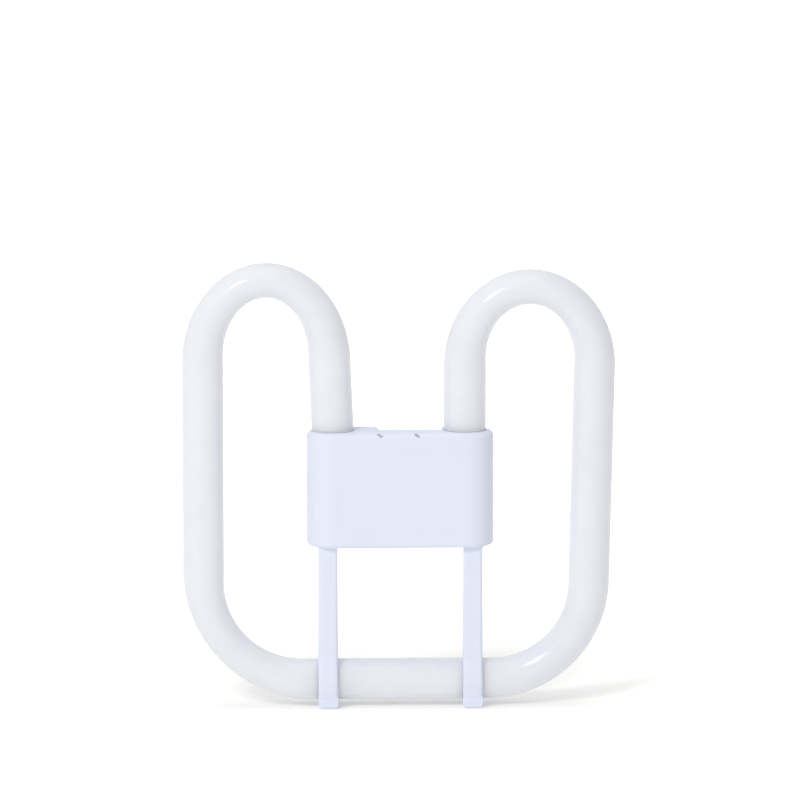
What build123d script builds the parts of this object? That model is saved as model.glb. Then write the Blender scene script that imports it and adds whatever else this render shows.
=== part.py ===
# Square compact fluorescent lamp: one bent glass tube held by a two-part moulded base with four pins.
# The origin is the middle of the pin pattern, on the face that seats in the lampholder. +Y points back
# out of that face, the front looks towards -Y, and +Z is up with the lamp standing on its clip feet.
import os
from math import atan, cos, degrees, pi, radians, sin, sqrt, tan

from build123d import *

# Contact pins and the boss that carries them
pin_diameter = 2.35
pin_length = 6.8
pin_tip_chamfer = 0.5
pin_seat_diameter = 2.9
pin_cup_diameter = 1.0
pin_cup_depth = 2.4
pin_seat_overhang = 0.8
pin_spacing_x = 7.92
pin_spacing_z = 6.35
boss_width = 27.0
boss_height = 21.0
boss_rise = 6.5
boss_corner = 3.0
boss_wall = 1.4
pin_plate = 2.0
latch_width = 8.0
latch_depth = 1.0
latch_height = 2.2
latch_setback = 2.0

# Moulded base: its ends are half round and follow the two legs of the tube
leg_spacing = 41.7
leg_diameter = 13.4
cement_gap = 0.7
base_height = 36.5
base_wall = 1.2
base_cap_wall = 1.6
top_round = 1.9
bottom_round = 1.5
panel_side_margin = 1.25
panel_end_margin = 5.5
panel_depth = 0.1
panel_corner = 1.5
panel_rise = 0.5
nick_spacing = 11.6
nick_shift = -0.65
nick_length = 1.8
nick_width = 0.75
nick_depth = 1.2
nick_turn = 35.0
nick_setback = 0.55
rib_thickness = 1.2
rib_leg_gap = 1.25
rib_floor_gap = 8.6
tongue_width = 20.0
tongue_reach = 2.4
tongue_thickness = 1.0
tongue_fit = 0.1
tab_width = 6.82
step_leg_gap = 0.3
step_drop = 1.3
step_slope = 1.4

# Arms and the clips that hold the bottom run of the tube
arm_offset = 1.95
arm_width = 6.15
arm_depth = 3.0
arm_setback = 2.6
arm_flare = 0.8
arm_flare_sink = 0.3
arm_edge_round = 1.1
clip_wall = 2.0
clip_fit = 0.15
clip_mouth = 1.5
clip_blend = 6.0
foot_corner = 1.6
foot_pad_inset = 1.8
foot_pad_round = 1.2

# Glass tube, measured on its centreline; the draws say how much thinner than the legs it is elsewhere
side_draw = 0.3
run_draw = 0.5
crown_draw = 2.25
left_corner_draw = 2.1
right_corner_draw = 1.0
bend_steps = 4
left_leg_out = 0.35
left_span = 39.74
left_crown_z = 40.7
left_crown_rise = 25.0
left_leg_lean = 2.4
right_leg_in = 0.5
right_span = 40.8
right_crown_z = 39.6
right_crown_rise = 23.8
right_side_lean = 1.3
left_corner_radius = 33.0
right_corner_radius = 31.0
run_z = -61.3
leg_fit = 0.1
seal_shoulder = 4.5
seal_length = 5.5
seal_width = 10.4
seal_thickness = 3.0
exhaust_diameter = 2.0
exhaust_length = 3.4
exhaust_floor_gap = 1.1

# Wires and cement
wire_diameter = 0.6
wire_spacing = 6.4
wire_drop = 2.4
wire_rib_gap = 0.9
wire_run_lift = 4.0
wire_wall_gap = 0.6
wire_end_gap = 0.2
cement_height = 6.0

# Planes and levels that several pieces share
base_depth = leg_diameter + 2 * (cement_gap + base_wall)
base_width = leg_spacing + base_depth
tube_y = -(boss_rise + base_depth / 2)
front_y = tube_y - base_depth / 2
base_top = base_height / 2
base_bottom = -base_height / 2
cavity_top = base_top - base_cap_wall
cavity_bottom = base_bottom + base_cap_wall
cavity_width = base_width - 2 * base_wall
cavity_depth = base_depth - 2 * base_wall
side_diameter = leg_diameter - side_draw
run_diameter = leg_diameter - run_draw
crown_thickness = leg_diameter - crown_draw
left_corner_thickness = leg_diameter - left_corner_draw
right_corner_thickness = leg_diameter - right_corner_draw
left_leg_x = -leg_spacing / 2 - left_leg_out
right_leg_x = leg_spacing / 2 - right_leg_in
rib_x = leg_spacing / 2 - leg_diameter / 2 - rib_leg_gap - rib_thickness / 2
lamp_plane = Plane.XZ.offset(-tube_y)

os.makedirs("parts", exist_ok=True)


def lean_angle(across, rise, lean):
    """Angle on an oval arch, up from its springing line, where the glass leans by the given angle."""
    return degrees(atan(rise / across * tan(radians(lean))))


def on_arch(middle, across, rise, angle):
    """Point at an angle on an oval arch, in the plane of the lamp."""
    return middle[0] + across * cos(radians(angle)), middle[1] + rise * sin(radians(angle))


def sloped_to(point, level, lean):
    """Point at a level, on the line through a point that leans by an angle to the right as it goes down."""
    return point[0] + (point[1] - level) * tan(radians(lean)), level


# Where the bends of the glass begin and end, from each leg at the base's top over its crown to its side
seal_start_z = cavity_bottom + exhaust_floor_gap + exhaust_length + seal_length + seal_shoulder
left_across = left_span / 2
left_spring = lean_angle(left_across, left_crown_rise, left_leg_lean)
left_spring_z = left_crown_z + left_crown_rise * sin(radians(left_spring))
left_leg_top = sloped_to((left_leg_x, base_top), left_spring_z, left_leg_lean)
left_leg_end = sloped_to(left_leg_top, seal_start_z, left_leg_lean)
left_middle = (left_leg_top[0] - left_across * cos(radians(left_spring)), left_crown_z)
left_side_x = left_middle[0] - left_across
right_across = right_span / 2
right_spring = lean_angle(right_across, right_crown_rise, right_side_lean)
right_middle = (right_leg_x + right_across, right_crown_z)
right_side_top = on_arch(right_middle, right_across, right_crown_rise, -right_spring)
right_leg_top = (right_leg_x, right_crown_z)
right_leg_end = (right_leg_x, seal_start_z)
left_corner_z = run_z + left_corner_radius
left_corner_x = left_side_x + left_corner_radius
right_corner_z = run_z + right_corner_radius
right_corner_end_z = right_corner_z - right_corner_radius * sin(radians(right_side_lean))
right_side_end = sloped_to(right_side_top, right_corner_end_z, -right_side_lean)
right_corner_x = right_side_end[0] - right_corner_radius * cos(radians(right_side_lean))


def bent_glass(path, start_diameter, end_diameter, middle_thickness):
    """One bend of the tube along a path. It thins in the lamp's plane, as drawn glass does."""
    with BuildPart() as bend:
        for step in range(bend_steps + 1):
            share = step / bend_steps
            depth = start_diameter + (end_diameter - start_diameter) * sin(pi / 2 * share) ** 2
            with BuildSketch(Plane(path @ share, x_dir=(0, 1, 0), z_dir=path % share)):
                if step in (0, bend_steps):
                    Circle(depth / 2)
                else:
                    thickness = depth + (middle_thickness - depth) * sin(pi * share)
                    Ellipse(depth / 2, thickness / 2)
        sweep(path=path, multisection=True)
    return bend.part


def leg_end_plane(end, lean):
    """Plane across a leg where its seal begins, looking down into the base."""
    across = (cos(radians(lean)), 0, sin(radians(lean)))
    down = (sin(radians(lean)), 0, -cos(radians(lean)))
    return Plane((end[0], tube_y, end[1]), x_dir=across, z_dir=down)


def straight_glass(start, finish, diameter):
    """Straight stretch of the tube between two points of the lamp's plane."""
    with BuildLine(lamp_plane) as run:
        Line(start, finish)
    path = run.edge()
    with BuildPart() as stretch:
        with BuildSketch(Plane(path @ 0, x_dir=(0, 1, 0), z_dir=path % 0)):
            Circle(diameter / 2)
        extrude(amount=path.length)
    return stretch.part


left_leg_plane = leg_end_plane(left_leg_end, left_leg_lean)
right_leg_plane = leg_end_plane(right_leg_end, 0)

# Discharge tube, with the pressed seals that close both ends
with BuildLine(lamp_plane) as left_crown:
    EllipticalCenterArc(
        left_middle, left_across, left_crown_rise, left_spring, arc_size=180 - left_spring
    )
with BuildLine(lamp_plane) as left_corner:
    CenterArc((left_corner_x, left_corner_z), left_corner_radius, 180, 90)
with BuildLine(lamp_plane) as right_corner:
    CenterArc((right_corner_x, right_corner_z), right_corner_radius, 270, 90 - right_side_lean)
with BuildLine(lamp_plane) as right_crown:
    EllipticalCenterArc(
        right_middle, right_across, right_crown_rise, -right_spring, arc_size=180 + right_spring
    )

with BuildPart() as discharge_tube:
    add(straight_glass(left_leg_end, left_leg_top, leg_diameter))
    add(bent_glass(left_crown.edge(), leg_diameter, side_diameter, crown_thickness))
    add(straight_glass((left_side_x, left_crown_z), (left_side_x, left_corner_z), side_diameter))
    add(bent_glass(left_corner.edge(), side_diameter, run_diameter, left_corner_thickness))
    add(straight_glass((left_corner_x, run_z), (right_corner_x, run_z), run_diameter))
    add(bent_glass(right_corner.edge(), run_diameter, side_diameter, right_corner_thickness))
    add(straight_glass(right_side_end, right_side_top, side_diameter))
    add(bent_glass(right_crown.edge(), side_diameter, leg_diameter, crown_thickness))
    add(straight_glass(right_leg_top, right_leg_end, leg_diameter))
    for leg_plane in (left_leg_plane, right_leg_plane):
        with BuildSketch(leg_plane):
            Circle(leg_diameter / 2)
        with BuildSketch(leg_plane.offset(seal_shoulder)):
            Ellipse(seal_width / 2, seal_thickness / 2)
        loft()
        with BuildSketch(leg_plane.offset(seal_shoulder)):
            Ellipse(seal_width / 2, seal_thickness / 2)
        extrude(amount=seal_length)
    with BuildSketch(left_leg_plane.offset(seal_shoulder + seal_length)):
        Circle(exhaust_diameter / 2)
    extrude(amount=exhaust_length)
discharge_tube.part.label = "discharge_tube"
export_step(discharge_tube.part, "parts/discharge_tube.step")


def base_blank():
    """Closed base before it parts into two shells: rounded edges outside, one even cavity inside."""
    with BuildPart() as blank:
        with BuildSketch(Plane.XY.offset(base_bottom)):
            with Locations((0, tube_y)):
                SlotOverall(base_width, base_depth)
        extrude(amount=base_height)
        fillet(blank.edges().group_by(Axis.Z)[-1], radius=top_round)
        fillet(blank.edges().group_by(Axis.Z)[0], radius=bottom_round)
        with BuildSketch(Plane.XY.offset(cavity_bottom)):
            with Locations((0, tube_y)):
                SlotOverall(cavity_width, cavity_depth)
        extrude(amount=cavity_top - cavity_bottom, mode=Mode.SUBTRACT)
        for leg_plane in (left_leg_plane, right_leg_plane):
            with BuildSketch(leg_plane):
                Circle(leg_diameter / 2 + leg_fit)
            extrude(amount=-base_height, mode=Mode.SUBTRACT)
    return blank.part


# Front shell: label panel, two nicks on the top edge, ribs, and the two arms with their clips
arm_x = leg_spacing / 2 + arm_offset
clip_bore = run_diameter / 2 + clip_fit
clip_outer = clip_bore + clip_wall
foot_pad = 2 * (clip_outer - foot_pad_inset)
foot_z = run_z - clip_outer
arm_front = front_y + arm_setback
arm_top = base_bottom + base_cap_wall / 2
flare_z = base_bottom + arm_flare_sink - arm_flare
foot_pad_height = clip_outer - sqrt(clip_outer**2 - (foot_pad / 2) ** 2)
with BuildPart() as arm:
    with BuildSketch(Plane.YZ) as side_view:
        with Locations((tube_y, run_z)):
            Circle(clip_outer)
        with Locations((tube_y, foot_z)):
            Rectangle(foot_pad, foot_pad_height, align=(Align.CENTER, Align.MIN))
        fillet(side_view.vertices().group_by(Axis.Y)[0], radius=foot_pad_round)
        with Locations((arm_front, run_z)):
            Rectangle(arm_depth, arm_top - run_z, align=(Align.MIN, Align.MIN))
        arm_front_foot = side_view.vertices().sort_by(Axis.Y)[-4]
        fillet(arm_front_foot, radius=clip_blend)
    extrude(amount=arm_width / 2, both=True)
    side_edges = arm.edges().group_by(Axis.X)[0] + arm.edges().group_by(Axis.X)[-1]
    long_edges = side_edges.filter_by_position(Axis.Z, foot_z + foot_pad_height, arm_top)
    fillet(
        long_edges.filter_by_position(Axis.Y, front_y - arm_edge_round, arm_front + arm_edge_round),
        radius=arm_edge_round,
    )
    with BuildSketch(Plane.XZ.offset(-(tube_y + clip_outer))) as front_view:
        with Locations((0, foot_z)):
            Rectangle(arm_width, arm_top - foot_z, align=(Align.CENTER, Align.MIN))
        fillet(front_view.vertices().group_by(Axis.Y)[0], radius=foot_corner)
    extrude(amount=2 * clip_outer, mode=Mode.INTERSECT)
    with BuildSketch(Plane.XZ.offset(-arm_front)):
        with Locations((0, flare_z)):
            Rectangle(arm_width + 2 * arm_flare, arm_flare, align=(Align.CENTER, Align.MIN))
        with Locations((-arm_width / 2 - arm_flare, flare_z), (arm_width / 2 + arm_flare, flare_z)):
            Circle(arm_flare, mode=Mode.SUBTRACT)
    extrude(amount=-arm_depth)
    with BuildSketch(Plane.YZ):
        with Locations((tube_y, run_z)):
            Circle(clip_bore)
        with Locations((arm_front + arm_depth, run_z + clip_mouth)):
            Rectangle(2 * clip_outer, clip_outer, align=(Align.MIN, Align.MIN))
    extrude(amount=arm_width, both=True, mode=Mode.SUBTRACT)

with BuildPart() as base_front:
    add(base_blank())
    split(bisect_by=lamp_plane, keep=Keep.TOP)
    with Locations((-arm_x, 0, 0), (arm_x, 0, 0)):
        add(arm.part)
    with BuildSketch(Plane.XZ.offset(-front_y)):
        with Locations((0, panel_rise)):
            RectangleRounded(
                leg_spacing - 2 * panel_side_margin, base_height - 2 * panel_end_margin, panel_corner
            )
    extrude(amount=-panel_depth, mode=Mode.SUBTRACT)
    with BuildSketch(Plane.XY.offset(base_top)):
        nick_y = front_y + nick_setback
        with Locations((nick_shift - nick_spacing / 2, nick_y), (nick_shift + nick_spacing / 2, nick_y)):
            Rectangle(nick_length, nick_width, rotation=-nick_turn)
    extrude(amount=-nick_depth, mode=Mode.SUBTRACT)
    with BuildSketch(Plane.XY.offset(cavity_bottom + rib_floor_gap)):
        with Locations((-rib_x, front_y + base_wall), (rib_x, front_y + base_wall)):
            Rectangle(rib_thickness, tube_y - front_y - base_wall, align=(Align.CENTER, Align.MIN))
    extrude(amount=cavity_top - cavity_bottom - rib_floor_gap)
base_front.part.label = "base_front"
export_step(base_front.part, "parts/base_front.step")

# Rear shell: pin boss, stepped top edge beside the left leg, and a tongue that slips into the front shell
step_left = left_leg_x + leg_diameter / 2 + tab_width
step_right = right_leg_x - leg_diameter / 2 - step_leg_gap
with BuildPart() as base_rear:
    add(base_blank())
    split(bisect_by=lamp_plane, keep=Keep.BOTTOM)
    with BuildSketch(lamp_plane):
        with BuildLine():
            Polyline(
                (step_left, base_top),
                (step_left + step_slope, base_top - step_drop),
                (step_right, base_top - step_drop),
                (step_right, cavity_top - step_drop),
                (step_left, cavity_top - step_drop),
                close=True,
            )
        make_face()
    extrude(amount=-cavity_depth / 2)
    with BuildSketch(lamp_plane):
        with BuildLine():
            Polyline(
                (step_left, base_top),
                (step_left + step_slope, base_top - step_drop),
                (step_right, base_top - step_drop),
                (step_right, base_top),
                close=True,
            )
        make_face()
    extrude(amount=-base_depth, mode=Mode.SUBTRACT)
    with BuildSketch(Plane.XZ) as boss_outline:
        RectangleRounded(boss_width, boss_height, boss_corner)
    extrude(amount=boss_rise + base_wall)
    with BuildSketch(Plane.XZ.offset(pin_plate)):
        RectangleRounded(boss_width - 2 * boss_wall, boss_height - 2 * boss_wall, boss_corner - boss_wall)
    extrude(amount=boss_rise + base_wall - pin_plate, mode=Mode.SUBTRACT)
    with BuildSketch(Plane.XZ.offset(latch_setback)):
        with Locations((-boss_width / 2, 0), (boss_width / 2, 0)):
            Rectangle(2 * latch_depth, latch_width)
    extrude(amount=latch_height, mode=Mode.SUBTRACT)
    with Locations(Plane.XZ):
        with GridLocations(pin_spacing_x, pin_spacing_z, 2, 2):
            Hole(pin_seat_diameter / 2, depth=pin_plate)
    with BuildSketch(lamp_plane):
        with Locations((0, cavity_bottom)):
            Rectangle(tongue_width, tongue_fit + tongue_thickness, align=(Align.CENTER, Align.MIN))
    extrude(amount=-tongue_reach)
    with BuildSketch(lamp_plane):
        with Locations((0, cavity_bottom + tongue_fit)):
            Rectangle(tongue_width, tongue_thickness, align=(Align.CENTER, Align.MIN))
    extrude(amount=tongue_reach)
base_rear.part.label = "base_rear"
export_step(base_rear.part, "parts/base_rear.step")

# Contact pins: turned, with a seat pressed into the pin plate and a blind cup that takes the wire
pin_radius = pin_diameter / 2
seat_radius = pin_seat_diameter / 2
seat_back_y = -pin_plate - pin_seat_overhang
cup_end_y = seat_back_y + pin_cup_depth
with BuildPart() as pin:
    with BuildSketch(Plane.XY) as pin_half:
        with BuildLine():
            Polyline(
                (0, cup_end_y),
                (pin_cup_diameter / 2, cup_end_y),
                (pin_cup_diameter / 2, seat_back_y),
                (seat_radius, seat_back_y),
                (seat_radius, 0),
                (pin_radius, 0),
                (pin_radius, pin_length),
                (0, pin_length),
                close=True,
            )
        make_face()
        chamfer(pin_half.vertices().group_by(Axis.Y)[-1].sort_by(Axis.X)[-1], length=pin_tip_chamfer)
    revolve(axis=Axis.Y)
pin_places = [
    (-pin_spacing_x / 2, pin_spacing_z / 2),
    (pin_spacing_x / 2, pin_spacing_z / 2),
    (-pin_spacing_x / 2, -pin_spacing_z / 2),
    (pin_spacing_x / 2, -pin_spacing_z / 2),
]
for number, (pin_x, pin_z) in enumerate(pin_places, start=1):
    with BuildPart() as contact_pin:
        with Locations((pin_x, 0, pin_z)):
            add(pin.part)
    contact_pin.part.label = f"contact_pin_{number}"
    export_step(contact_pin.part, f"parts/contact_pin_{number}.step")

# Lead wires: from each seal to the cups of the two pins on its side, the outer wire to the lower pin
seal_end = seal_shoulder + seal_length
wire_run_x = rib_x - rib_thickness / 2 - wire_rib_gap - wire_diameter / 2
wire_turn_y = -(boss_rise + base_wall + wire_wall_gap + wire_diameter / 2)
for number, (pin_x, pin_z) in enumerate(pin_places, start=1):
    leg_plane = left_leg_plane if pin_x < 0 else right_leg_plane
    side = -1 if pin_x < 0 else 1
    wire_x = wire_spacing / 2 * (-side if pin_z > 0 else side)
    wire_turn = leg_plane.offset(seal_end + wire_drop).from_local_coords((wire_x, 0))
    run_lift = wire_run_lift if pin_z > 0 else 0
    with BuildPart() as lead_wire:
        with BuildLine() as route:
            Polyline(
                leg_plane.offset(seal_end).from_local_coords((wire_x, 0)),
                wire_turn,
                (side * wire_run_x, wire_turn_y, wire_turn.Z + run_lift),
                (pin_x, wire_turn_y, pin_z),
                (pin_x, cup_end_y - wire_end_gap, pin_z),
            )
        with BuildSketch(Plane(route.line @ 0, z_dir=route.line % 0)):
            Circle(wire_diameter / 2)
        sweep(path=route.line, transition=Transition.RIGHT)
    lead_wire.part.label = f"lead_wire_{number}"
    export_step(lead_wire.part, f"parts/lead_wire_{number}.step")

# Cement collars: they fill the round ends of the cavity round each leg, just under the top wall
for side, name in ((-1, "left"), (1, "right")):
    with BuildPart() as cement:
        with BuildSketch(Plane.XY.offset(cavity_top - cement_height)):
            with Locations((side * leg_spacing / 2, tube_y)):
                Circle(cavity_depth / 2)
        extrude(amount=cement_height)
        add(discharge_tube.part, mode=Mode.SUBTRACT)
    cement.part.label = f"tube_cement_{name}"
    export_step(cement.part, f"parts/tube_cement_{name}.step")
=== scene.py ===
import bpy
import numpy as np
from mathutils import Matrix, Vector


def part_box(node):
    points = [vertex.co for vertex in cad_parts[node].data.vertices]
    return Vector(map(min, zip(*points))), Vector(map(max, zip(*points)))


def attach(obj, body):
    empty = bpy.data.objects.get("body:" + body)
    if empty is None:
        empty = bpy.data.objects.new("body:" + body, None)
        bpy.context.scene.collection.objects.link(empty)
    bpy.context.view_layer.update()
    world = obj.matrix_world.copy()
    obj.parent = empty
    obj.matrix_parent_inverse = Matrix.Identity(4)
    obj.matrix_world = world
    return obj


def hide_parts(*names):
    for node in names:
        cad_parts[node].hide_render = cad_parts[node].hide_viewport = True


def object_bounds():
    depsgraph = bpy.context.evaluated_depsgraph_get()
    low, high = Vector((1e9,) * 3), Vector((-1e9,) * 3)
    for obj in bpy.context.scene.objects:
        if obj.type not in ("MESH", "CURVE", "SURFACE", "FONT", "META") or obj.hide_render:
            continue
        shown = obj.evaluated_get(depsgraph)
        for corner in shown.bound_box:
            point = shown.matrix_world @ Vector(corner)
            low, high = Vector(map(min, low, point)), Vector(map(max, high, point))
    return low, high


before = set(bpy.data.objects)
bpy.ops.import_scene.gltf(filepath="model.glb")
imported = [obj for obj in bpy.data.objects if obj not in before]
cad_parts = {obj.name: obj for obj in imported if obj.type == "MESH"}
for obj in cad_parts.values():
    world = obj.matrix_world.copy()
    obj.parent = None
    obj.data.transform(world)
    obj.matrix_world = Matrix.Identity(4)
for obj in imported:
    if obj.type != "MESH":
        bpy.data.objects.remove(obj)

cad_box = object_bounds()
mm = 0.001

# Levels that place the tube, the nicks and the floor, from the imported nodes
base_low, base_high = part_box("base_front")
base_face_y = base_low[1]
base_top = base_high[2]
tube_low, tube_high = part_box("discharge_tube")
tube_y = (tube_low[1] + tube_high[1]) / 2
floor_z = cad_box[0][2]

# Glass tube, measured on its centreline
leg_spacing = 41.7 * mm
leg_diameter = 13.4 * mm
side_diameter = 13.1 * mm
run_diameter = 12.9 * mm
crown_thickness = 11.15 * mm
left_corner_thickness = 11.3 * mm
right_corner_thickness = 12.4 * mm
left_leg_out = 0.35 * mm
left_span = 39.74 * mm
left_crown_z = 40.7 * mm
left_crown_rise = 25.0 * mm
left_leg_lean = np.radians(2.4)
right_leg_in = 0.5 * mm
right_span = 40.8 * mm
right_crown_z = 39.6 * mm
right_crown_rise = 23.8 * mm
right_side_lean = np.radians(1.3)
left_corner_radius = 33.0 * mm
right_corner_radius = 31.0 * mm
run_z = -61.3 * mm

# Pressed seals of the tube's ends
seal_start_z = -2.15 * mm
seal_shoulder = 4.5 * mm
seal_length = 5.5 * mm
seal_width = 10.4 * mm
seal_thickness = 3.0 * mm
exhaust_diameter = 2.0 * mm
exhaust_length = 3.4 * mm

# Mesh of the tube
ring_points = 72
bend_rings = 72
straight_rings = 24
skin_inset = 0.03 * mm

# Nicks on the base's top front edge, and the shade painted on their walls
nick_middles = (-6.45 * mm, 5.15 * mm)
nick_length = 1.8 * mm
nick_width = 0.75 * mm
nick_depth = 1.2 * mm
nick_turn = np.radians(35.0)
nick_setback = 0.55 * mm
nick_skin = 0.02 * mm
# How much painted shade the nicks get, and how far it swings with the flow noise
nick_painted_shade = 0.2
nick_painted_shade_swing = 0.3

# Colours
powder_thick = (0.822, 0.832, 0.888, 1.0)
powder_thin = (0.772, 0.782, 0.845, 1.0)
moulding_pale = (0.828, 0.868, 0.995, 1.0)
moulding_deep = (0.788, 0.828, 0.97, 1.0)
# Dark grey painted into the nicks as shade
painted_shade_grey = (0.2, 0.22, 0.28, 1.0)
brass_bright = (0.86, 0.80, 0.66, 1.0)
brass_worn = (0.70, 0.62, 0.44, 1.0)
wire_bare = (0.66, 0.65, 0.63, 1.0)
wire_tinted = (0.45, 0.42, 0.38, 1.0)
cement_chalk = (0.84, 0.81, 0.74, 1.0)
cement_grain = (0.60, 0.57, 0.50, 1.0)
floor_pale = (0.943, 0.94, 0.916, 1.0)
floor_mottled = (0.923, 0.92, 0.897, 1.0)
black = (0.0, 0.0, 0.0, 1.0)
white = (1.0, 1.0, 1.0, 1.0)

# Noises, each as cells in one unit of its place, detail and roughness
cloud_noise = (110.0, 4.0, 0.55)
powder_noise = (1900.0, 2.0, 0.6)
draw_noise = (1.0, 3.0, 0.5)
flow_noise = (70.0, 3.0, 0.5)
grain_noise = (5200.0, 2.0, 0.6)
speck_noise = (900.0, 2.0, 0.5)
ring_noise = (1.0, 2.0, 0.6)
patch_noise = (650.0, 3.0, 0.55)
tint_noise = (320.0, 3.0, 0.55)
scratch_noise = (1.0, 2.0, 0.6)
lump_noise = (900.0, 4.0, 0.6)
grit_noise = (4200.0, 3.0, 0.65)
mottle_noise = (6.0, 2.0, 0.5)

# Stretches of the place under a noise, one for each axis
draw_stretch = (14.0, 3.2, 3.2)
flow_stretch = (1.0, 1.0, 0.45)
ring_stretch = (60.0, 9000.0, 60.0)
scratch_stretch = (5200.0, 5200.0, 700.0)

# Noise levels at which a mask begins and is full
cloud_mask = (0.35, 0.75)
speck_mask = (0.62, 0.78)
cement_mask = (0.58, 0.66)

# Bumps, each as its real depth and its strength
draw_bump = (0.06 * mm, 0.5)
grain_bump = (0.02 * mm, 0.35)
ring_bump = (0.012 * mm, 0.5)
scratch_bump = (0.01 * mm, 0.5)
cement_bump = (0.25 * mm, 0.8)

# Light that the powder coat scatters
powder_scatter = 0.9
scatter_reach = 10.0 * mm
scatter_radius = (1.0, 1.0, 1.0)

# Viewpoint
view_azimuth = np.radians(-1.72)
view_elevation = np.radians(8.7)
view_distance = 1.8
view_aim = Vector((0.0, tube_y, 27.7 * mm))
view_lens = 258.0
view_near = 0.01

# Studio
floor_reach = 3.0
floor_glow = 0.147
floor_lift = 0.028
floor_clear = (0.055, 0.25)
room_light = 0.48
key_place = (-0.74, -1.36, 1.12)
key_size = 0.5
key_power = 12.0
top_place = (-0.1, -0.05, 1.6)
top_size = 1.2
top_power = 5.2


class Signal:
    """A value that varies over a surface: one output socket, with arithmetic that adds Math nodes
    to its finish."""

    def __init__(self, finish, socket):
        self.finish = finish
        self.socket = socket

    def worked_out(self, operation, first, second):
        return self.finish.add("ShaderNodeMath", {"operation": operation}, {0: first, 1: second})

    def __add__(self, other):
        return self.worked_out("ADD", self, other)

    def __radd__(self, other):
        return self.worked_out("ADD", other, self)

    def __sub__(self, other):
        return self.worked_out("SUBTRACT", self, other)

    def __rsub__(self, other):
        return self.worked_out("SUBTRACT", other, self)

    def __mul__(self, other):
        return self.worked_out("MULTIPLY", self, other)

    def __rmul__(self, other):
        return self.worked_out("MULTIPLY", other, self)


class Finish:
    """The nodes of one material, or of the world, in the making: all of them come from one
    method, add."""

    def __init__(self, owner):
        self.owner = owner
        self.owner.use_nodes = True
        self.tree = self.owner.node_tree
        self.tree.nodes.clear()

    def add(self, kind, settings=None, sockets=None, output=0):
        """Adds a node: its settings first, then the value or link of each socket named. Gives one
        output."""
        node = self.tree.nodes.new(kind)
        for name, value in (settings or {}).items():
            if name == "stops":
                self.set_stops(node.color_ramp, value)
            else:
                setattr(node, name, value)
        for name, value in (sockets or {}).items():
            if isinstance(value, Signal):
                self.tree.links.new(value.socket, node.inputs[name])
            else:
                node.inputs[name].default_value = value
        return Signal(self, node.outputs[output]) if node.outputs else None

    def set_stops(self, ramp, stops):
        """Gives a ramp its two stops, each a position and a grey level."""
        for element, (position, level) in zip(ramp.elements, stops):
            element.position = position
            element.color = (level, level, level, 1.0)

    def place(self):
        """Place on the object, in metres."""
        return self.add("ShaderNodeTexCoord", output="Object")

    def stretched(self, place, scale):
        """A place with each axis multiplied by its own scale."""
        return self.add("ShaderNodeVectorMath", {"operation": "MULTIPLY"}, {0: place, 1: scale})

    def noise(self, place, scale, detail, roughness):
        """Even noise from 0 to 1; scale is in cells for each unit of the place."""
        sockets = {"Vector": place, "Scale": scale, "Detail": detail, "Roughness": roughness}
        return self.add("ShaderNodeTexNoise", {}, sockets)

    def mask(self, value, begins, full):
        """0 up to the level where the mask begins, 1 from where it is full, and even between."""
        stops = ((begins, 0.0), (full, 1.0))
        return self.add("ShaderNodeValToRGB", {"stops": stops}, {"Fac": value})

    def blend(self, share, first, second):
        """A colour between two others."""
        return self.add("ShaderNodeMix", {"data_type": "RGBA"}, {0: share, 6: first, 7: second}, 2)

    def bump(self, height, depth, strength):
        """A normal raised by a height from 0 to 1, at a real depth."""
        sockets = {"Height": height, "Distance": depth, "Strength": strength}
        return self.add("ShaderNodeBump", {}, sockets)

    def within(self, value, reach):
        """1 where a value is no further than reach from zero, and 0 elsewhere."""
        return self.add("ShaderNodeMath", {"operation": "COMPARE"}, {0: value, 1: 0.0, 2: reach})

    def direct_view(self):
        """1 where the camera sees a surface, straight or through gloss or glass, and 0 for the
        light it gives."""
        rays = [
            self.add("ShaderNodeLightPath", output=name)
            for name in ("Is Camera Ray", "Is Glossy Ray", "Is Transmission Ray")
        ]
        return self.add("ShaderNodeClamp", {}, {"Value": rays[0] + rays[1] + rays[2]})

    def finished(self, **sockets):
        """Closes the finish with one principled surface; underscores in a socket's name stand for
        spaces."""
        named = {name.replace("_", " "): value for name, value in sockets.items()}
        surface = self.add("ShaderNodeBsdfPrincipled", {}, named)
        self.add("ShaderNodeOutputMaterial", {}, {"Surface": surface})
        return self.owner


def phosphor_glass():
    """White powder coat seen through clear drawn glass: cloudy powder that thins in the bends, and
    a glossy skin with long faint draw lines."""
    finish = Finish(bpy.data.materials.new("phosphor_glass"))
    place = finish.place()
    run = finish.add("ShaderNodeAttribute", {"attribute_name": "along_round"}, output="Vector")
    drawn = finish.add("ShaderNodeAttribute", {"attribute_name": "drawn"}, output="Fac")
    cloud = finish.noise(place, *cloud_noise)
    powder = finish.noise(place, *powder_noise)
    lines = finish.noise(finish.stretched(run, draw_stretch), *draw_noise)
    thin = finish.mask(cloud, *cloud_mask) * 0.5 + drawn * 0.35 + powder * 0.15
    return finish.finished(
        Base_Color=finish.blend(thin, powder_thick, powder_thin),
        Roughness=0.4 + 0.14 * cloud, Normal=finish.bump(lines, *draw_bump),
        Specular_IOR_Level=0.12,
        Coat_Weight=0.42 - 0.08 * cloud, Coat_Roughness=0.09, Coat_IOR=1.5,
        Subsurface_Weight=powder_scatter, Subsurface_Radius=scatter_radius,
        Subsurface_Scale=scatter_reach,
    )


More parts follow.
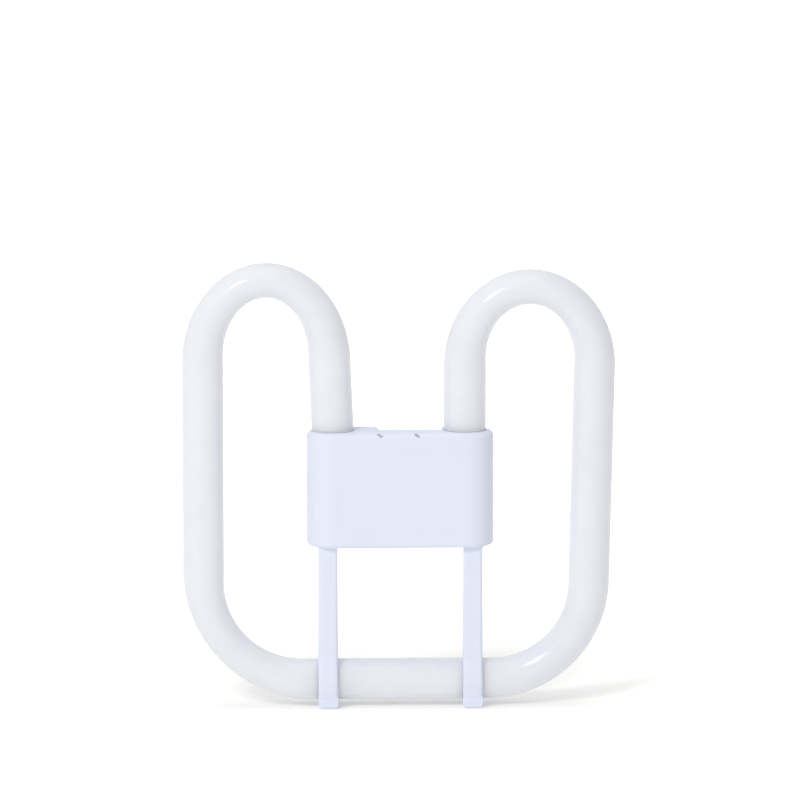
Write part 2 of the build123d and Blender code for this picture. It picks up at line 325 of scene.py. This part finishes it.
def nick_walls(finish, place):
    """1 on the walls of the two turned nicks, where shade is painted, and 0 elsewhere. Along and
    across are the place turned about a nick's middle: both lie within half the nick's size, and
    the drop from the base's top lies within its depth."""
    x, y, z = (
        finish.add("ShaderNodeSeparateXYZ", {}, {"Vector": place}, axis) for axis in ("X", "Y", "Z")
    )
    from_middle_y = y - float(base_face_y + nick_setback)
    high = finish.within(z - float(base_top), nick_depth + nick_skin)
    cosine, sine = float(np.cos(nick_turn)), float(np.sin(nick_turn))
    nicks = 0.0
    for middle in nick_middles:
        along = (x - middle) * cosine - from_middle_y * sine
        across = (x - middle) * sine + from_middle_y * cosine
        in_length = finish.within(along, nick_length / 2 + nick_skin)
        in_width = finish.within(across, nick_width / 2 + nick_skin)
        nicks = nicks + in_length * in_width
    return high * nicks


def white_moulding():
    """Bluish white moulded plastic: a fine eroded grain, faint flow clouds, slightly uneven gloss,
    and painted shade in the two nicks."""
    finish = Finish(bpy.data.materials.new("white_moulding"))
    place = finish.place()
    flow = finish.noise(finish.stretched(place, flow_stretch), *flow_noise)
    grain = finish.noise(place, *grain_noise)
    speck = finish.mask(finish.noise(place, *speck_noise), *speck_mask)
    shade = flow * 0.7 + grain * 0.2 + speck * 0.1
    moulding_colour = finish.blend(shade, moulding_pale, moulding_deep)
    # Painted shade: dark grey mixed into the walls of the two nicks, stronger where the flow noise
    # is high
    painted_nick_shade = nick_walls(finish, place) * (nick_painted_shade + nick_painted_shade_swing * flow)
    return finish.finished(
        Base_Color=finish.blend(painted_nick_shade, moulding_colour, painted_shade_grey),
        Roughness=0.36 + 0.12 * flow + 0.06 * grain, Normal=finish.bump(grain, *grain_bump),
        Specular_IOR_Level=0.15,
    )


def turned_brass():
    """Plated brass turned on a lathe: fine rings along the pin, duller in the worn patches."""
    finish = Finish(bpy.data.materials.new("turned_brass"))
    place = finish.place()
    rings = finish.noise(finish.stretched(place, ring_stretch), *ring_noise)
    patch = finish.noise(place, *patch_noise)
    return finish.finished(
        Base_Color=finish.blend(patch, brass_bright, brass_worn), Metallic=0.94 + 0.06 * patch,
        Roughness=0.18 + 0.2 * patch + 0.08 * rings, Normal=finish.bump(rings, *ring_bump),
    )


def drawn_wire():
    """Bare drawn wire: dull grey metal with scratches and darker heat tint in patches."""
    finish = Finish(bpy.data.materials.new("drawn_wire"))
    place = finish.place()
    tint = finish.noise(place, *tint_noise)
    scratch = finish.noise(finish.stretched(place, scratch_stretch), *scratch_noise)
    return finish.finished(
        Base_Color=finish.blend(tint, wire_bare, wire_tinted), Metallic=0.9 + 0.1 * tint,
        Roughness=0.3 + 0.2 * scratch, Normal=finish.bump(scratch, *scratch_bump),
    )


def cured_cement():
    """Cured lamp cement: a chalky gritty mass with pits and darker grains."""
    finish = Finish(bpy.data.materials.new("cured_cement"))
    place = finish.place()
    lumps = finish.noise(place, *lump_noise)
    grit = finish.noise(place, *grit_noise)
    grains = finish.mask(grit, *cement_mask)
    return finish.finished(
        Base_Color=finish.blend(lumps * 0.5 + grains * 0.5, cement_chalk, cement_grain),
        Roughness=0.82 + 0.12 * grit, Normal=finish.bump(lumps * 0.6 + grit * 0.4, *cement_bump),
    )


def placed(name, mesh, material):
    """Puts a mesh with one material into the scene, as an object at the origin."""
    piece = bpy.data.objects.new(name, mesh)
    bpy.context.collection.objects.link(piece)
    mesh.materials.append(material)
    return piece


def sloped_to(point, level, lean):
    """Point at a level, on the line through a point that leans by an angle to the right as it goes
    down."""
    return point[0] + (point[1] - level) * np.tan(lean), level


def straight_stretch(start, end, diameter):
    """Straight stretch of tube: stations evenly spaced between two points of the lamp's plane.
    Each row holds the place x, z, the unit direction, the size across the plane and in it, and how
    far the glass is drawn (none)."""
    share = np.linspace(0.0, 1.0, straight_rings)[:, None]
    way = np.subtract(end, start)
    places = np.array(start) + way * share
    directions = np.repeat(way[None, :] / np.linalg.norm(way), straight_rings, axis=0)
    sizes = np.full((straight_rings, 2), diameter)
    return np.hstack([places, directions, sizes, np.zeros_like(share)])


def bent_stretch(middle, across, rise, start_angle, turn, diameters, middle_thickness):
    """Bent stretch of tube: stations at even steps of angle round an oval, place = middle +
    (across cos a, rise sin a), direction its tangent. The depth eases between the two diameters by
    sin squared of a quarter turn, and the thickness in the plane goes to its middle value by the
    sine of a half turn, which is also how far the glass is drawn."""
    share = np.linspace(0.0, 1.0, bend_rings)
    angle = start_angle + turn * share
    places = np.column_stack([
        middle[0] + across * np.cos(angle), middle[1] + rise * np.sin(angle)
    ])
    directions = np.column_stack([-across * np.sin(angle), rise * np.cos(angle)])
    directions /= np.linalg.norm(directions, axis=1, keepdims=True)
    depth = diameters[0] + (diameters[1] - diameters[0]) * np.sin(np.pi / 2 * share) ** 2
    drawn = np.sin(np.pi * share)
    thickness = depth + (middle_thickness - depth) * drawn
    return np.column_stack([places, directions, depth, thickness, drawn])


def pressed_seal(leg_end, direction, tip_rows):
    """Closed end of a leg, from the leg inwards: the round tube eases into a flat pressed seal
    along its shoulder, runs on flat, and ends in the rows given as (distance, size). The ease is
    sin squared of a quarter turn."""
    share = np.linspace(0.0, 1.0, straight_rings)
    ease = np.sin(np.pi / 2 * share) ** 2
    flat_end = [seal_shoulder + seal_length]
    distance = np.concatenate([share * seal_shoulder, flat_end, tip_rows[:, 0]])
    depth = leg_diameter + (seal_thickness - leg_diameter) * ease
    depth = np.concatenate([depth, [seal_thickness], tip_rows[:, 1]])
    thickness = leg_diameter + (seal_width - leg_diameter) * ease
    thickness = np.concatenate([thickness, [seal_width], tip_rows[:, 1]])
    places = np.array(leg_end) + np.outer(distance, direction)
    directions = np.repeat(np.array(direction)[None, :], len(distance), axis=0)
    return np.column_stack([places, directions, depth, thickness, np.zeros_like(distance)])


def tube_stations():
    """All stations of the tube in order, from the left seal over both crowns to the right seal."""
    left_across = left_span / 2
    left_spring = np.arctan(left_crown_rise / left_across * np.tan(left_leg_lean))
    left_leg_x = -leg_spacing / 2 - left_leg_out
    left_spring_z = left_crown_z + left_crown_rise * np.sin(left_spring)
    left_top = sloped_to((left_leg_x, base_top), left_spring_z, left_leg_lean)
    left_end = sloped_to(left_top, seal_start_z, left_leg_lean)
    left_middle = (left_top[0] - left_across * np.cos(left_spring), left_crown_z)
    left_side_x = left_middle[0] - left_across
    left_corner = (left_side_x + left_corner_radius, run_z + left_corner_radius)

    right_across = right_span / 2
    right_leg_x = leg_spacing / 2 - right_leg_in
    right_spring = np.arctan(right_crown_rise / right_across * np.tan(right_side_lean))
    right_middle = (right_leg_x + right_across, right_crown_z)
    right_top = (
        right_middle[0] + right_across * np.cos(right_spring),
        right_middle[1] - right_crown_rise * np.sin(right_spring),
    )
    right_corner_z = run_z + right_corner_radius
    right_side_end_z = right_corner_z - right_corner_radius * np.sin(right_side_lean)
    right_side_end = sloped_to(right_top, right_side_end_z, -right_side_lean)
    right_corner_x = right_side_end[0] - right_corner_radius * np.cos(right_side_lean)
    right_corner = (right_corner_x, right_corner_z)

    seal_end = seal_shoulder + seal_length
    exhaust = np.array([
        [seal_end, exhaust_diameter], [seal_end + exhaust_length, exhaust_diameter]
    ])
    left_down = (np.sin(left_leg_lean), -np.cos(left_leg_lean))
    left_seal = pressed_seal(left_end, left_down, exhaust)[::-1]
    left_seal[:, 2:4] *= -1
    right_seal = pressed_seal((right_leg_x, seal_start_z), (0.0, -1.0), np.empty((0, 2)))
    stretches = [
        left_seal,
        straight_stretch(left_end, left_top, leg_diameter),
        bent_stretch(
            left_middle, left_across, left_crown_rise, left_spring, np.pi - left_spring,
            (leg_diameter, side_diameter), crown_thickness,
        ),
        straight_stretch((left_side_x, left_crown_z), (left_side_x, left_corner[1]), side_diameter),
        bent_stretch(
            left_corner, left_corner_radius, left_corner_radius, np.pi, np.pi / 2,
            (side_diameter, run_diameter), left_corner_thickness,
        ),
        straight_stretch((left_corner[0], run_z), (right_corner[0], run_z), run_diameter),
        bent_stretch(
            right_corner, right_corner_radius, right_corner_radius, 1.5 * np.pi,
            np.pi / 2 - right_side_lean, (run_diameter, side_diameter), right_corner_thickness,
        ),
        straight_stretch(right_side_end, right_top, side_diameter),
        bent_stretch(
            right_middle, right_across, right_crown_rise, -right_spring, np.pi + right_spring,
            (side_diameter, leg_diameter), crown_thickness,
        ),
        straight_stretch((right_leg_x, right_crown_z), (right_leg_x, seal_start_z), leg_diameter),
        right_seal,
    ]
    return np.vstack([stretches[0]] + [stretch[1:] for stretch in stretches[1:]])


def tube_points(rows, turn):
    """Points of the tube's rings, then its two poles. At each station, place + normal in the plane
    times half the thickness times cos t + the lamp's depth axis times half the depth times sin t.
    Both halves lose a hair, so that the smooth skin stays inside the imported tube's flat facets."""
    normal_x, normal_z = rows[:, 3], -rows[:, 2]
    reach = (rows[:, 5:6] / 2 - skin_inset) * np.cos(turn)
    x = rows[:, 0:1] + normal_x[:, None] * reach
    y = tube_y + (rows[:, 4:5] / 2 - skin_inset) * np.sin(turn)
    z = rows[:, 1:2] + normal_z[:, None] * reach
    poles = [[rows[0, 0], tube_y, rows[0, 1]], [rows[-1, 0], tube_y, rows[-1, 1]]]
    return np.vstack([np.stack([x, y, z], axis=-1).reshape(-1, 3), poles])


def tube_faces(count):
    """Faces of the tube: a quad between neighbouring points of each ring and the next, and a fan
    from the pole of each end to its last ring."""
    station, point = np.meshgrid(np.arange(count - 1), np.arange(ring_points), indexing="ij")
    after = (point + 1) % ring_points
    quads = np.stack([
        station * ring_points + point,
        station * ring_points + after,
        (station + 1) * ring_points + after,
        (station + 1) * ring_points + point,
    ], axis=-1).reshape(-1, 4)
    around = np.arange(ring_points)
    beside = (around + 1) % ring_points
    last_ring = (count - 1) * ring_points
    first_pole = count * ring_points
    start_fan = np.column_stack([np.full(ring_points, first_pole), beside, around])
    end_fan = np.column_stack([
        np.full(ring_points, first_pole + 1), last_ring + around, last_ring + beside
    ])
    return quads.tolist() + start_fan.tolist() + end_fan.tolist()


def places_on_glass(rows, turn):
    """Place of each point on the glass: the length run so far, cos t and sin t. On the poles the
    last two are zero."""
    steps = np.linalg.norm(np.diff(rows[:, :2], axis=0), axis=1)
    length = np.concatenate([[0.0], np.cumsum(steps)])
    rings = np.stack([
        np.repeat(length[:, None], ring_points, axis=1),
        np.repeat(np.cos(turn)[None, :], len(rows), axis=0),
        np.repeat(np.sin(turn)[None, :], len(rows), axis=0),
    ], axis=-1).reshape(-1, 3)
    return np.vstack([rings, [[length[0], 0.0, 0.0], [length[-1], 0.0, 0.0]]])


def glass_tube():
    """The bent tube as one closed surface. Two attributes go with it: the place on the glass, and
    how far the glass is drawn there."""
    rows = tube_stations()
    turn = np.linspace(0.0, 2 * np.pi, ring_points, endpoint=False)
    mesh = bpy.data.meshes.new("glass_tube")
    mesh.from_pydata(tube_points(rows, turn).tolist(), [], tube_faces(len(rows)))
    mesh.polygons.foreach_set("use_smooth", np.ones(len(mesh.polygons), dtype=bool))
    along_round = mesh.attributes.new("along_round", "FLOAT_VECTOR", "POINT")
    along_round.data.foreach_set("vector", places_on_glass(rows, turn).ravel())
    drawn = mesh.attributes.new("drawn", "FLOAT", "POINT")
    drawn.data.foreach_set("value", np.append(np.repeat(rows[:, 6], ring_points), [0.0, 0.0]))
    mesh.update()

    tube = placed("glass_tube", mesh, phosphor_glass())
    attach(tube, "root")
    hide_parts("discharge_tube")


def finish_nodes():
    """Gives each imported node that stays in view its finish."""
    moulding = white_moulding()
    brass = turned_brass()
    wire = drawn_wire()
    cement = cured_cement()
    finishes = {"base_front": moulding, "base_rear": moulding}
    finishes.update({f"contact_pin_{number}": brass for number in range(1, 5)})
    finishes.update({f"lead_wire_{number}": wire for number in range(1, 5)})
    finishes.update({f"tube_cement_{side}": cement for side in ("left", "right")})
    for name, material in finishes.items():
        for part_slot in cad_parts[name].material_slots:
            part_slot.material = material


def studio_floor():
    """Plain white floor with a faint glow of its own. The camera sees a little more light in it
    than it gives, and more from floor_clear outwards, so that it is white round the shadow."""
    finish = Finish(bpy.data.materials.new("studio_floor"))
    place = finish.place()
    mottle = finish.noise(place, *mottle_noise)
    pale = finish.blend(mottle, floor_pale, floor_mottled)
    reach = finish.add("ShaderNodeVectorMath", {"operation": "LENGTH"}, {0: place}, "Value")
    clear = finish.add(
        "ShaderNodeMapRange", {"interpolation_type": "SMOOTHSTEP"},
        {"Value": reach, "From Min": floor_clear[0], "From Max": floor_clear[1]},
    )
    lift = floor_glow + finish.direct_view() * (floor_lift + clear)
    material = finish.finished(
        Base_Color=pale, Roughness=0.9, Specular_IOR_Level=0.0,
        Emission_Color=finish.blend(lift, black, white), Emission_Strength=1.0,
    )
    corners = [
        (x * floor_reach, y * floor_reach, floor_z) for x, y in ((-1, -1), (1, -1), (1, 1), (-1, 1))
    ]
    mesh = bpy.data.meshes.new("studio_floor")
    mesh.from_pydata(corners, [], [(0, 1, 2, 3)])
    floor = placed("studio_floor", mesh, material)


def studio_world():
    """Soft even light from all round, seen straight or in gloss as plain white."""
    sky = Finish(bpy.data.worlds.new("studio_world"))
    bpy.context.scene.world = sky.owner
    strength = room_light + (1.0 - room_light) * sky.direct_view()
    background = sky.add("ShaderNodeBackground", {}, {"Color": white, "Strength": strength})
    sky.add("ShaderNodeOutputWorld", {}, {"Surface": background})


def turned_along(way):
    """Turn of a lamp or camera that looks along a way, with its top up."""
    return way.to_track_quat("-Z", "Y").to_euler()


def studio_lamp(name, place, size, power):
    """Square soft lamp at a place, turned towards the middle of the object."""
    light = bpy.data.lights.new(name, "AREA")
    light.size = size
    light.energy = power
    lamp = bpy.data.objects.new(name, light)
    lamp.location = place
    lamp.rotation_euler = turned_along(view_aim - Vector(place))
    bpy.context.collection.objects.link(lamp)


def studio_camera():
    """Camera on a sphere round its aim, at the photograph's viewpoint."""
    level = np.cos(view_elevation) * view_distance
    offset = Vector((
        level * np.sin(view_azimuth), -level * np.cos(view_azimuth),
        view_distance * np.sin(view_elevation),
    ))
    lens = bpy.data.cameras.new("studio_camera")
    lens.lens = view_lens
    lens.clip_start = view_near
    camera = bpy.data.objects.new("studio_camera", lens)
    camera.location = view_aim + offset
    camera.rotation_euler = turned_along(-offset)
    bpy.context.collection.objects.link(camera)
    bpy.context.scene.camera = camera


glass_tube()
finish_nodes()
studio_floor()
studio_world()
studio_lamp("key_lamp", key_place, key_size, key_power)
studio_lamp("top_lamp", top_place, top_size, top_power)
studio_camera()
bpy.context.scene.view_settings.view_transform = "Standard"
